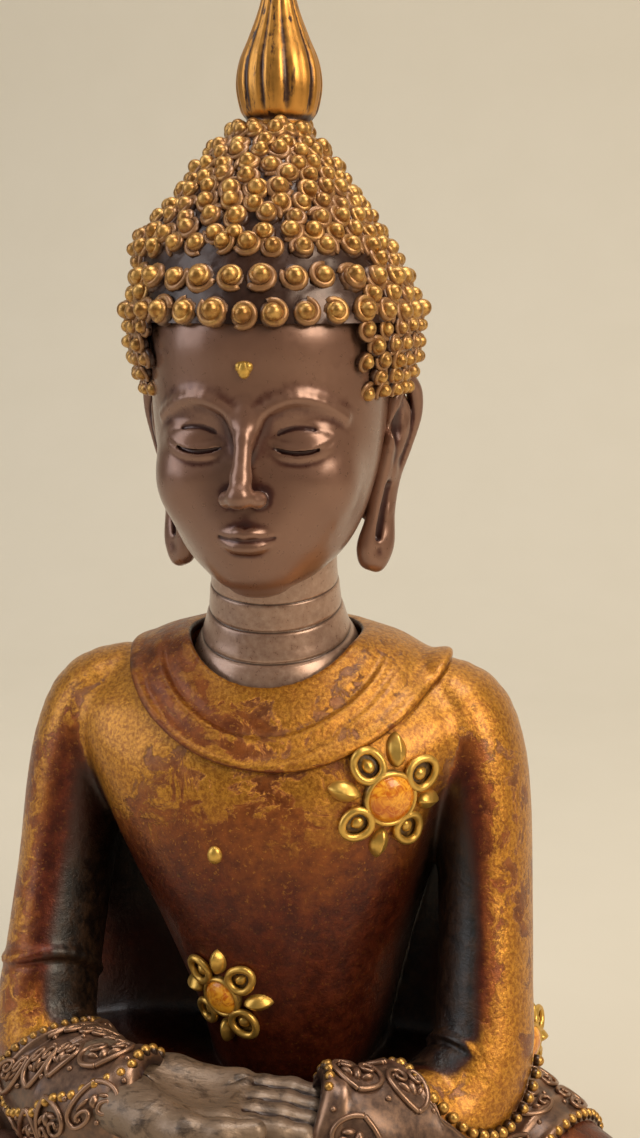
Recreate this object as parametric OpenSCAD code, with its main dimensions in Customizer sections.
// Seated meditating figure, cast in sections: a robed body with folded legs, a head with
// rows of snail-shell curls, a flame finial, jewelled flowers and beaded trim.
// Frame: +Z up, the figure faces -Y, its own left hand is on +X. The origin is the middle
// of the underside, where the felt pad rests.

/* [Figure] */
// Height from the underside to the finial's tip
total_h = 245; // [242:1:250]
// Width over the two upper arms
arms_w = 95; // [93:1:97]
// Width over the two knees
knee_w = 152; // [148:1:156]
// Height of the chin above the underside
chin_z = 128; // [127:0.5:129]
// Width of the head over the hair, without the curls
hair_w = 51; // [50:0.5:52]

/* [Curls] */
// Distance between neighbouring curls
curl_pitch = 5.5; // [5.3:0.1:6.5]
// Radius of one curl's coil
curl_r = 2.45; // [2:0.05:2.6]
// Radius of the bead in the middle of a curl
curl_bead_r = 1.5; // [1.2:0.05:1.6]

/* [Jewels] */
// Diameter of the stone on the chest
chest_stone_d = 9; // [7:0.5:10]
// Diameter of the stones on the belly and at the side
small_stone_d = 7; // [6:0.5:8]
// Distance from a stone's centre to the tips of its petals
petal_reach = 9.5; // [8:0.5:10.5]

/* [Trim] */
// Radius of the beads that edge the cuffs and thigh bands
bead_r = 1.05; // [0.8:0.05:1.2]
// Thickness of the cuffs and bands over the robe
trim_t = 1.3; // [1:0.1:1.6]

/* [Base] */
// Thickness of the felt pad
felt_t = 1.2; // [1:0.1:2]
// Wall of the hollow casting
wall = 5; // [4:0.5:6]

/* [Hidden] */
CURL_ROWS = 15;

SIDES = 28;                 // corners of a skinned ring
LIMB_SIDES = 20;            // corners of a swept ring on an arm or leg
BALL_FN = 12;               // fineness of balls inside a hull
EXACT_FN = 48;              // fineness of true round shapes
hair_r = hair_w / 2;
arm_x = arms_w / 2 - 8.5;   // middle of an upper arm
knee_x = knee_w / 2 - 13;
crown_z = chin_z + 76;      // where the finial stands on the hair
hairline_z = chin_z + 45;
bronze = [0.33, 0.22, 0.19];
dark_bronze = [0.24, 0.18, 0.15];
gold = [0.72, 0.46, 0.14];
bright_gold = [0.80, 0.62, 0.25];
amber = [0.90, 0.48, 0.06];
felt_green = [0.10, 0.16, 0.11];
rubber_grey = [0.22, 0.22, 0.23];

// ---------- curves and skins ----------

// Smooth curve through the rows of a table, at s from 0 to the last row's number
function spline(rows, s) =
    let (last = len(rows) - 1, i = min(floor(s), last - 1), t = s - i,
         a = rows[max(i - 1, 0)], b = rows[i], c = rows[i + 1], d = rows[min(i + 2, last)])
    0.5 * (2 * b + (c - a) * t + (2 * a - 5 * b + 4 * c - d) * t * t
           + (3 * b - a - 3 * c + d) * t * t * t);

function resample(rows, count) =
    [for (k = [0:count - 1]) spline(rows, k * (len(rows) - 1) / (count - 1))];

function signed_power(v, p) = sign(v) * pow(abs(v), p);

// Point of a level ring at an angle. A row is
// [z, y of the axis, half width, depth in front, depth behind, squareness, x of the axis]
function level_point(row, a) =
    let (p = 2 / row[5], s = sin(a))
    [row[6] + row[2] * signed_power(cos(a), p),
     row[1] + (s < 0 ? row[3] : row[4]) * signed_power(s, p), row[0]];

function level_ring(row, sides) =
    [for (k = [0:sides - 1]) level_point(row, 360 * k / sides)];

function unit(v) = v / norm(v);

// Place in a table of level rows that has height z
function place_at(rows, z) =
    let (i = max([for (k = [0:len(rows) - 2]) z >= rows[k][0] ? k : 0]))
    i + (z - rows[i][0]) / (rows[i + 1][0] - rows[i][0]);

function skin_point(rows, s, a) = level_point(spline(rows, s), a);

function skin_normal(rows, s, a) =
    unit(cross(skin_point(rows, s, a + 2) - skin_point(rows, s, a - 2),
               skin_point(rows, s + 0.1, a) - skin_point(rows, s - 0.1, a)));

// Stands its children on a skin at height z and angle a, sunk in by a little
module stand_on(rows, z, a, sink = 0) {
    s = place_at(rows, z);
    n = skin_normal(rows, s, a);
    translate(skin_point(rows, s, a) - n * sink)
        rotate([0, acos(n[2]), atan2(n[1], n[0])]) children();
}

// Ring square to a path. A row is [x, y, z, radius across, radius along the reference]
function path_ring(rows, i, sides, reference) =
    let (here = rows[i], to = rows[min(i + 1, len(rows) - 1)], from = rows[max(i - 1, 0)],
         along = unit([to[0] - from[0], to[1] - from[1], to[2] - from[2]]),
         across = unit(cross(along, reference)), other = cross(along, across))
    [for (k = [0:sides - 1])
        let (a = 360 * k / sides)
        [here[0], here[1], here[2]] + across * here[3] * cos(a) + other * here[4] * sin(a)];

// Closed solid through equal rings, each counterclockwise about the way they are stacked
module skin(rings) {
    n = len(rings[0]);
    last = len(rings) - 1;
    polyhedron(
        points = [for (r = rings) each r],
        faces = concat(
            [[for (k = [0:n - 1]) k]],
            [for (i = [0:last - 1], k = [0:n - 1])
                [i * n + k, (i + 1) * n + k, (i + 1) * n + (k + 1) % n, i * n + (k + 1) % n]],
            [[for (k = [n - 1:-1:0]) last * n + k]]),
        convexity = 6);
}

module stack(rows, count, sides = SIDES) {
    skin([for (r = resample(rows, count)) level_ring(r, sides)]);
}

module limb(rows, count, reference = [1, 0, 0], sides = LIMB_SIDES) {
    fine = resample(rows, count);
    skin([for (i = [0:count - 1]) path_ring(fine, i, sides, reference)]);
}

// Keeps a blended solid as one closed surface
module one_surface() {
    resize([0, 0, 0]) children();
}

module ball(p, r) {
    translate(p) sphere(r, $fn = BALL_FN);
}

// Row of balls joined one after the other. A bead is [x, y, z, radius]
module chain(beads) {
    for (i = [0:len(beads) - 2])
        hull() {
            ball([beads[i][0], beads[i][1], beads[i][2]], beads[i][3]);
            ball([beads[i + 1][0], beads[i + 1][1], beads[i + 1][2]], beads[i + 1][3]);
        }
}

module mirrored() {
    mirror([1, 0, 0]) children();
}

// Everything above a height
module above(z) {
    intersection() {
        children();
        translate([0, 0, z + 150]) cube(300, center = true);
    }
}

// ---------- body forms ----------

TORSO = [
    [32, 4, 16, 24, 18, 2.2, 4],
    [47, 4, 19, 28, 18, 2.2, 4],
    [62, 4, 24, 29, 18, 2.2, 2.5],
    [78, 3.5, 30, 29.5, 19, 2.3, 1],
    [90, 3, 34, 29, 20, 2.4, 0],
    [98, 3, 37.5, 27, 20, 2.4, 0],
    [104, 2.5, 38.5, 22, 20, 2.4, 0],
    [108, 2.5, 34.5, 18, 18.3, 2.3, 0],
    [111.5, 2.5, 28.5, 14.3, 16, 2.2, 0],
    [114.3, 2.5, 22.5, 11.3, 14, 2.1, 0],
    [116.2, 2.5, 16, 8.8, 11.8, 2, 0],
    [117.4, 2.5, 10, 6, 9.5, 2, 0]];
TORSO_RINGS = 20;

BACK = [
    [16, 8, 49, 12, 23, 2.6, 0],
    [34, 8, 48.5, 9, 21, 2.6, 0],
    [50, 7, 46.5, 5, 19, 2.6, 0],
    [70, 6, 44.5, 3, 18.5, 2.6, 0],
    [90, 5, 42, 3, 18.5, 2.5, 0],
    [102, 4, 40, 4, 18.5, 2.4, 0],
    [108, 4, 32, 5, 14, 2.3, 0]];

ARM = [ // x, y, z, radius front to back, radius side to side
    [arm_x - 10, 2, 107.5, 8, 5],
    [arm_x - 5, 1.5, 102.5, 11.8, 8.2],
    [arm_x - 2.7, 0.5, 95.5, 13.1, 9.1],
    [arm_x - 1.1, -2, 86, 13, 8.9],
    [arm_x, -6, 72, 12.5, 8.5],
    [arm_x + 0.6, -13, 57, 12, 8.5],
    [arm_x + 0.3, -19.5, 46, 11, 9],
    [arm_x - 5, -26.5, 39.5, 10, 9.8],
    [arm_x - 12, -33, 39.5, 9.8, 9.5],
    [arm_x - 18.5, -38.5, 43, 8, 8],
    [arm_x - 28, -41, 46.5, 6.4, 5.6]];
ARM_RINGS = 28;

SEAT = [
    [felt_t, 4, 45, 30, 26, 2.6, 0],
    [11, 4, 49, 32, 28, 2.6, 0],
    [22, 4, 47, 30, 27, 2.5, 0],
    [31, 4, 40, 26, 24, 2.4, 0],
    [37, 4, 30, 22, 20, 2.3, 0]];

THIGH = [ // x, y, z, radius across, radius upright
    [18, 2, 22, 17, 17],
    [38, -6, 20, 17, 16.5],
    [knee_x - 8, -16, 16, 15, 14.8],
    [knee_x, -22, 15, 12, 13]];
LOWER_SHIN = [
    [knee_x + 1, -23, 14.5, 12, 12],
    [knee_x - 10, -34, 13.5, 12, 12.2],
    [30, -43, 13, 11, 11.5],
    [6, -48, 12, 10, 10.5],
    [-16, -49, 11, 8, 8.5]];
UPPER_SHIN = [
    [knee_x + 1, -23, 15, 12, 12.5],
    [knee_x - 10, -33, 18, 12, 12.2],
    [30, -38, 22, 10.5, 10.5],
    [10, -37, 26, 9, 8.5],
    [-6, -34, 27, 7.5, 7]];

module torso_form() { stack(TORSO, TORSO_RINGS); }
module arm_form() { limb(ARM, ARM_RINGS); }
module both_arms() { arm_form(); mirrored() arm_form(); }
// The casting is solid under the crossed shins
module seat_form() {
    stack(SEAT, 9);
    translate([0, 0, felt_t]) linear_extrude(12.5) hull()
        for (at = [[-40, -31], [-34, -35], [-8, -37], [8, -33], [8, -22], [-40, -22]])
            translate(at) circle(6, $fn = LIMB_SIDES);
}

module folded_leg(shin) {
    above(felt_t) {
        limb(THIGH, 8, [0, 0, 1]);
        translate([knee_x - 0.5, -22.5, 14.8]) sphere(13.4, $fn = 28);
        limb(shin, 12, [0, 0, 1]);
    }
}

module left_leg_form() { folded_leg(LOWER_SHIN); }
module right_leg_form() { mirrored() folded_leg(UPPER_SHIN); }

PLUG_R = 15;                // radius of the pour hole and its stopper
PLUG_H = 6;                 // height of the stopper

module cavity() {
    translate([0, 3, felt_t + PLUG_H]) cylinder(h = 18, r = 27 - wall, $fn = EXACT_FN);
    translate([2.5, 3, felt_t + PLUG_H]) cylinder(h = 78, r = 18 - wall, $fn = EXACT_FN);
    translate([0, 3, 0]) cylinder(h = felt_t + PLUG_H + 1, r = PLUG_R, $fn = EXACT_FN);
}

module seat() {
    color(gold) one_surface() difference() {
        seat_form();
        cavity();
    }
}

module right_leg() {
    color(gold) one_surface() difference() {
        right_leg_form();
        seat_form();
        torso_form();
        left_leg_form();
    }
}

module left_leg() {
    color(gold) one_surface() difference() {
        left_leg_form();
        seat_form();
        torso_form();
    }
}

// Bare foot lying sole up, heel at one end and five toes at the other
module foot_form() {
    chain([[-2, -33, 30, 5.2], [12, -34.5, 31, 5.4], [25, -31, 30, 5.6]]);
    for (i = [0:4])
        ball([31 - 1.2 * i, -35.5 + 3.3 * i, 29.6], 2.5 - 0.18 * i);
}

module right_foot() {
    color(dark_bronze) one_surface() difference() {
        foot_form();
        left_leg_form();
        right_leg_form();
        torso_form();
        seat_form();
        arm_form();
    }
}

module left_foot() {
    color(dark_bronze) one_surface() difference() {
        union() {
            chain([[-12, -49, 11, 6], [-28, -47, 9.5, 6], [-38, -44, 8.6, 5.8]]);
            for (i = [0:4])
                ball([-44.5 + 0.8 * i, -46.5 + 3 * i, 6.8], 2.6 - 0.2 * i);
        }
        left_leg_form();
        right_leg_form();
        seat_form();
    }
}

module torso() {
    color(gold) one_surface() difference() {
        torso_form();
        seat_form();
        cavity();
        neck_room();
    }
}

module robe_back() {
    color(gold) one_surface() difference() {
        stack(BACK, 12);
        torso_form();
        seat_form();
        both_arms();
        left_leg_form();
        right_leg_form();
    }
}

module left_arm() {
    color(gold) one_surface() difference() {
        arm_form();
        torso_form();
        seat_form();
        left_leg_form();
    }
}

module right_arm() {
    color(gold) one_surface() difference() {
        mirrored() arm_form();
        torso_form();
        seat_form();
        right_leg_form();
    }
}

// ---------- collar, neck and head ----------

collar_t = 2.2;             // its thickness
collar_r = 37.4;            // radius of its round lower edge
neck_tilt = 8;              // forward lean of the neck

module collar_reach() {
    translate([2.6, 0, chin_z + 7]) rotate([90, 0, 0])
        cylinder(h = 120, r = collar_r, center = true, $fn = 48);
}

module neck_opening() {
    translate([0, 1, 111]) rotate([neck_tilt, 0, 0])
        cylinder(h = 50, r1 = 18, r2 = 14.8, center = true, $fn = 36);
}

module collar() {
    color(gold) one_surface() difference() {
        intersection() {
            stack([for (r = TORSO)
                [r[0] + collar_t * max(0, min(1, (r[0] - 100) / 14)), r[1], r[2] + collar_t,
                 r[3] + collar_t, r[4] + collar_t, r[5], r[6]]], TORSO_RINGS);
            collar_reach();
        }
        torso_form();
        neck_opening();
    }
}

NECK = [ // radius, height above its foot
    [5, 0], [5, 5], [15.5, 5], [15.2, 8.6], [14.3, 10.8], [13.1, 12.7], [12.7, 13], [12.8, 13.6],
    [12.3, 15.3], [11.5, 17.7], [11.1, 18], [11.3, 18.6], [11.1, 20.6], [10.95, 22.4],
    [10.7, 22.8], [10.8, 23.4], [10.8, 27]];

module at_neck() { translate([0, 2, 104]) rotate([neck_tilt, 0, 0]) children(); }

// Three soft folds round the neck, as a true turned shape with a spigot below
module neck() {
    color(bronze) at_neck() rotate_extrude($fn = EXACT_FN)
        polygon(concat([[0, 0]], NECK, [[0, 27]]));
}

// Room for the neck in the shoulders and in the head
module neck_room() {
    at_neck() rotate_extrude($fn = EXACT_FN)
        polygon([[0, 0], [5.03, 0], [5.03, 5], [15.65, 5], [15.65, 40], [0, 40]]);
}

module neck_spigot() {
    at_neck() cylinder(h = 27.02, r = 10.83, $fn = EXACT_FN);
}

HEAD = [ // heights above the chin
    [0, -13, 5, 5, 12, 2, 0],
    [2, -11, 9.5, 10, 17, 2, 0],
    [7, -8, 14.5, 15, 21, 2.1, 0],
    [14, -5, 17.5, 19, 22, 2.2, 0],
    [24, -3, 19.7, 22, 23.5, 2.2, 0],
    [35, -2, 20.6, 23.5, 23.5, 2.2, 0],
    [44, -2, 20.2, 23.5, 23, 2.2, 0],
    [52, -1, 18, 20, 20, 2.1, 0],
    [59, -1, 13, 14, 14, 2, 0]];

module head_form() {
    translate([0, 0, chin_z]) stack(HEAD, 20);
}

module head() {
    color(bronze) one_surface() difference() {
        head_form();
        neck_spigot();
    }
}

module ear_form() {
    chain([[22, 3.5, chin_z + 31, 2.5], [22.6, 3, chin_z + 26, 2.5], [21, 2, chin_z + 16, 2.1],
           [18.8, 1, chin_z + 7, 2.6], [17.8, 0.5, chin_z + 2.6, 2.5]]);
    chain([[21.8, 7.5, chin_z + 29, 2.2], [20.4, 5.5, chin_z + 20, 1.9],
           [19.6, 2.5, chin_z + 11, 1.8]]);
    chain([[22.4, 2.5, chin_z + 32.5, 1.6], [23.6, 5.5, chin_z + 30, 1.7], [22, 4.6, chin_z + 21, 1.5],
           [20, 2.5, chin_z + 11, 1.5]]);
}

module left_ear() {
    color(bronze) one_surface() difference() {
        ear_form();
        head_form();
        hair_form();
    }
}

module right_ear() {
    mirrored() left_ear();
}

// ---------- hair and finial ----------

HAIR = [for (r = [ // height above the chin, y of the axis, half width, half depth
    [6, 8, -13, 13], [12, 6.5, -10, 16.5], [20, 5, -7.5, 20], [27, 3.5, -5.3, 23],
    [33, 2, -2.7, 25.5], [38, 1, -0.9, 26.3], [43, 0.5, -0.3, 26.7], [48, 0.5, -1, 26],
    [54, 0.5, -3.8, 23], [61, 0.5, -7.5, 19], [68, 0.5, -11.5, 14.8], [74, 0.5, -16.5, 9.5],
    [77.5, 0.5, -20.5, 5.3]])
    [chin_z + r[0], r[1], hair_r + r[2], r[3], r[3], 2, 0]];
finial_x = 1;               // the finial stands a little to the figure's left

module hair_form() { stack(HAIR, 18, 28); }

// What the hair leaves free: the face between the temples, and the ears
module face_window() {
    hull() {
        translate([0, -30, chin_z - 20]) cube([42, 54, 2], center = true);
        translate([0, -30, hairline_z - 6]) cube([41, 54, 2], center = true);
        translate([0, -30, hairline_z - 1]) cube([36, 54, 2], center = true);
    }
    translate([0, -12, chin_z + 10]) cube([70, 36, 44], center = true);
}

module finial_socket() {
    translate([finial_x, 0.5, crown_z - 8]) cylinder(h = 20, r = 2.55, $fn = EXACT_FN);
}

module hair_cap() {
    color(dark_bronze) one_surface() difference() {
        hair_form();
        head_form();
        face_window();
        neck_room();
        finial_socket();
    }
}

CURLS = [ // height above the chin, heading of the first curl from the front
    [46.5, 0], [52, 0], [57, 0], [61.6, 0], [66, 0], [70, 0], [73.4, 0], [76, 0],
    [41.2, 53], [36, 57], [30.6, 100], [25.2, 103], [19.8, 106], [14.4, 109], [9.4, 112]];

module curl() {
    cylinder(h = 1.3, r = curl_r, $fn = EXACT_FN);
    translate([0, 0, 1.7]) sphere(curl_bead_r, $fn = EXACT_FN);
}

// One row: a whole ring, or an arc round the back of the head
module curls(i) {
    z = chin_z + CURLS[i - 1][0];
    from = CURLS[i - 1][1];
    row = spline(HAIR, place_at(HAIR, z));
    span = 360 - 2 * from;
    count = max(4, floor(PI * (row[2] + row[3] + 3) * span / 360 / curl_pitch));
    step = span / (from > 0 ? count - 1 : count);
    color(bright_gold)
        for (k = [0:count - 1])
            stand_on(HAIR, z, from + step * (k + (from > 0 ? 0 : (i % 2) / 2)) - 90, 0.35)
                curl();
}

FINIAL = [ // height above the crown, radius
    [-1, 5], [1, 5.4], [4, 6.9], [8, 7.5], [12, 6.7], [16, 5], [21, 3], [27, 2],
    [34, 1.2], [total_h - crown_z - 0.6, 0.6]];

module flame_finial() {
    rows = resample(FINIAL, 24);
    color(bright_gold) translate([finial_x, 0.5, crown_z]) rotate_extrude($fn = EXACT_FN)
        polygon(concat([[0, -7.5], [2.5, -7.5], [2.5, rows[0][0]]],
                       [for (r = rows) [r[1], r[0]]], [[0, total_h - crown_z]]));
}

// ---------- jewels ----------

PETAL_DROOP = 9;            // petals bend back with the body's curve

// Loop petal: a ring on a thin floor, with a bead in it
module loop_petal(middle, loop_r) {
    translate([middle, 0, 0.8]) {
        rotate_extrude($fn = EXACT_FN) translate([loop_r, 0]) circle(0.75, $fn = EXACT_FN);
        translate([0, 0, -1.4]) cylinder(h = 1, r = loop_r, $fn = EXACT_FN);
        sphere(1.0, $fn = EXACT_FN);
    }
}

// Drop petal: a turned drop that lies with its point outwards
module drop_petal(from, to) {
    long = to - from;
    translate([from, 0, 0.5]) rotate([0, 90, 0]) rotate_extrude($fn = EXACT_FN)
        polygon([[0, 0], [0.9, 0], [1.5, long * 0.3], [1.35, long * 0.55],
                 [0.3, long], [0, long]]);
}

// Setting with four loops, four drops and a round pocket for its stone
module flower(stone_d, reach) {
    rim = stone_d / 2 + 1;
    loop_r = (reach - rim) / 2;
    difference() {
        union() {
            translate([0, 0, -1.2]) cylinder(h = 2.7, r = rim, $fn = EXACT_FN);
            for (k = [0:3]) {
                rotate([0, 0, 90 * k + 30]) rotate([0, PETAL_DROOP, 0])
                    loop_petal(reach - loop_r - 0.75, loop_r);
                rotate([0, 0, 90 * k + 75]) rotate([0, PETAL_DROOP, 0])
                    drop_petal(rim - 0.7, reach);
            }
        }
        translate([0, 0, 0.7]) cylinder(h = 3, r = stone_d / 2 + 0.03, $fn = EXACT_FN);
    }
}

// Domed stone with a flat back, seated in its flower
module stone(d) {
    dome_h = d * 0.28;
    dome_r = (d * d / 4 + dome_h * dome_h) / (2 * dome_h);
    translate([0, 0, 0.7]) intersection() {
        cylinder(h = 1 + dome_h, r = d / 2, $fn = EXACT_FN);
        translate([0, 0, 1 + dome_h - dome_r]) sphere(dome_r, $fn = 96);
    }
}

module at_chest() { stand_on(TORSO, 92.8, -52, 0) rotate(90) children(); }
module at_belly() { stand_on(TORSO, 55.5, -112, -0.9) rotate(90) children(); }
module at_side() { stand_on(BACK, 35, -10, 0) rotate(90) children(); }

module chest_flower() { color(bright_gold) at_chest() flower(chest_stone_d, petal_reach + 1); }
module chest_stone() { color(amber) at_chest() stone(chest_stone_d); }
module belly_flower() { color(bright_gold) at_belly() flower(small_stone_d, petal_reach); }
module belly_stone() { color(amber) at_belly() stone(small_stone_d); }
module side_flower() { color(bright_gold) at_side() flower(small_stone_d, petal_reach - 1); }
module side_stone() { color(amber) at_side() stone(small_stone_d); }

module chest_stud() {
    color(bright_gold) stand_on(TORSO, 82.6, -99, 0.2) {
        cylinder(h = 0.9, r = 1.5, $fn = EXACT_FN);
        translate([0, 0, 0.9]) sphere(1.1, $fn = EXACT_FN);
    }
}

module urna() {
    color(bright_gold) translate([0, -25.1, chin_z + 37.5]) rotate([90, 0, 0]) {
        cylinder(h = 0.8, r = 2, $fn = EXACT_FN);
        translate([0, 0, 0.8]) sphere(1.3, $fn = EXACT_FN);
    }
}

// ---------- cuffs, thigh bands and beads ----------

RIGHT_CUFF = 6.45;          // where on the arm's table the right cuff starts
LEFT_CUFF = 8.1;            // the left cuff is pushed further down the wrist
CUFF_END = 9.7;             // where both of them end

module cuff_form(from) {
    rows = [for (k = [0:8]) spline(ARM, from + (CUFF_END - from) * k / 8)];
    skin([for (i = [0:8])
        path_ring([for (r = rows) [r[0], r[1], r[2], r[3] + trim_t, r[4] + trim_t]],
                  i, LIMB_SIDES, [1, 0, 0])]);
}

module right_cuff_form() { mirrored() cuff_form(RIGHT_CUFF); }
module left_cuff_form() { cuff_form(LEFT_CUFF); }

module left_cuff() {
    color(dark_bronze) one_surface() difference() {
        left_cuff_form();
        arm_form();
        left_leg_form();
        seat_form();
        torso_form();
    }
}

module right_cuff() {
    color(dark_bronze) one_surface() difference() {
        right_cuff_form();
        mirrored() arm_form();
        right_leg_form();
        seat_form();
        torso_form();
    }
}

// Beads round both ends of a cuff, on the part of each ring that shows
module cuff_beads(from) {
    rows = [for (s = [from, from + 0.02, CUFF_END - 0.02, CUFF_END])
        let (r = spline(ARM, s))
        [r[0], r[1], r[2], r[3] + trim_t + bead_r * 0.5, r[4] + trim_t + bead_r * 0.5]];
    for (end = [0, 3]) {
        count = floor(2 * PI * rows[end][3] / (2.3 * bead_r));
        ring = path_ring(rows, end, count, [1, 0, 0]);
        for (p = ring)
            if (p[2] > rows[end][2] - 2) translate(p) sphere(bead_r, $fn = EXACT_FN);
    }
}

module left_cuff_beads() { color(bright_gold) cuff_beads(LEFT_CUFF); }
module right_cuff_beads() { color(bright_gold) mirrored() cuff_beads(RIGHT_CUFF); }

// Route of the trim that lies across a thigh, from the hip to the shin
BAND_FROM = 1.1;
BAND_TO = 1.85;

module band_form() {
    rows = [for (k = [0:6]) spline(THIGH, BAND_FROM + (BAND_TO - BAND_FROM) * k / 6)];
    above(felt_t + 6) skin([for (i = [0:6])
        path_ring([for (r = rows) [r[0], r[1], r[2], r[3] + trim_t, r[4] + trim_t]],
                  i, LIMB_SIDES + 8, [0, 0, 1])]);
}

module left_thigh_band() {
    color(dark_bronze) one_surface() difference() {
        band_form();
        left_leg_form();
        seat_form();
        torso_form();
        arm_form();
        left_cuff_form();
        stack(BACK, 12);
    }
}

module right_thigh_band() {
    color(dark_bronze) one_surface() difference() {
        mirrored() band_form();
        right_leg_form();
        seat_form();
        torso_form();
        mirrored() arm_form();
        right_cuff_form();
        stack(BACK, 12);
    }
}

module band_beads() {
    rows = [for (s = [BAND_FROM, BAND_FROM + 0.02, BAND_TO - 0.02, BAND_TO])
        let (r = spline(THIGH, s))
        [r[0], r[1], r[2], r[3] + trim_t + bead_r * 0.5, r[4] + trim_t + bead_r * 0.5]];
    for (end = [0, 3]) {
        count = floor(2 * PI * rows[end][3] / (2.3 * bead_r));
        ring = path_ring(rows, end, count, [0, 0, 1]);
        for (p = ring)
            if (p[2] > 12 && p[0] > arm_x + 3) translate(p) sphere(bead_r, $fn = EXACT_FN);
    }
}

module left_band_beads() { color(bright_gold) band_beads(); }
module right_band_beads() { mirrored() left_band_beads(); }

// ---------- hands ----------

hand_z = 45;

// Hand lying palm up with its fingers towards +X and the thumb in front
module hand_form() {
    hull() {
        ball([-22, -37, 0.8], 4.2);
        ball([-12, -45, 0], 3.6);
        ball([0, -46.5, 0], 3);
        ball([0, -35, 0], 3);
        ball([-12, -33.5, 0], 3.6);
    }
    for (i = [0:3])
        chain([[-1, -46.3 + 3.9 * i, 0, 2.6], [9, -46.6 + 3.9 * i, 0.4, 2.3],
               [17 - abs(i - 1.3) * 2, -46.4 + 3.7 * i, -1, 1.9]]);
    chain([[-17, -45, 0.5, 4], [-8, -50.5, 1.6, 3], [1, -52, 2.6, 2.3], [6, -51, 3.2, 1.9]]);
}

module right_hand() {
    color(dark_bronze) one_surface() difference() {
        translate([0, 0, hand_z]) hand_form();
        both_arms();
        right_cuff_form();
        left_cuff_form();
        torso_form();
        right_leg_form();
    }
}

module left_hand() {
    color(dark_bronze) one_surface() difference() {
        translate([0, 0, hand_z - 5.2]) mirrored() hand_form();
        translate([0, 0, hand_z]) hand_form();
        both_arms();
        right_cuff_form();
        left_cuff_form();
        torso_form();
        foot_form();
        right_leg_form();
    }
}

// ---------- underside ----------

module felt_pad() {
    color(felt_green) linear_extrude(felt_t) hull() {
        for (side = [-1, 1]) {
            translate([side * (knee_x - 3), -22]) circle(8, $fn = 40);
            translate([side * 22, -45]) circle(6, $fn = 40);
            translate([side * 28, 14]) circle(12, $fn = 40);
        }
    }
}

// Stopper that closes the casting's pour hole
module pour_plug() {
    color(rubber_grey) translate([0, 3, felt_t])
        cylinder(h = PLUG_H, r = PLUG_R - 0.05, $fn = EXACT_FN);
}

// ---------- parts ----------

felt_pad();
pour_plug();
seat();
right_leg();
left_leg();
right_foot();
left_foot();
torso();
robe_back();
right_arm();
left_arm();
collar();
neck();
head();
right_ear();
left_ear();
hair_cap();
flame_finial();
urna();
chest_flower();
chest_stone();
belly_flower();
belly_stone();
side_flower();
side_stone();
chest_stud();
right_cuff();
left_cuff();
right_cuff_beads();
left_cuff_beads();
right_thigh_band();
left_thigh_band();
right_band_beads();
left_band_beads();
right_hand();
left_hand();
for (i = [1:CURL_ROWS])
    curls(i);
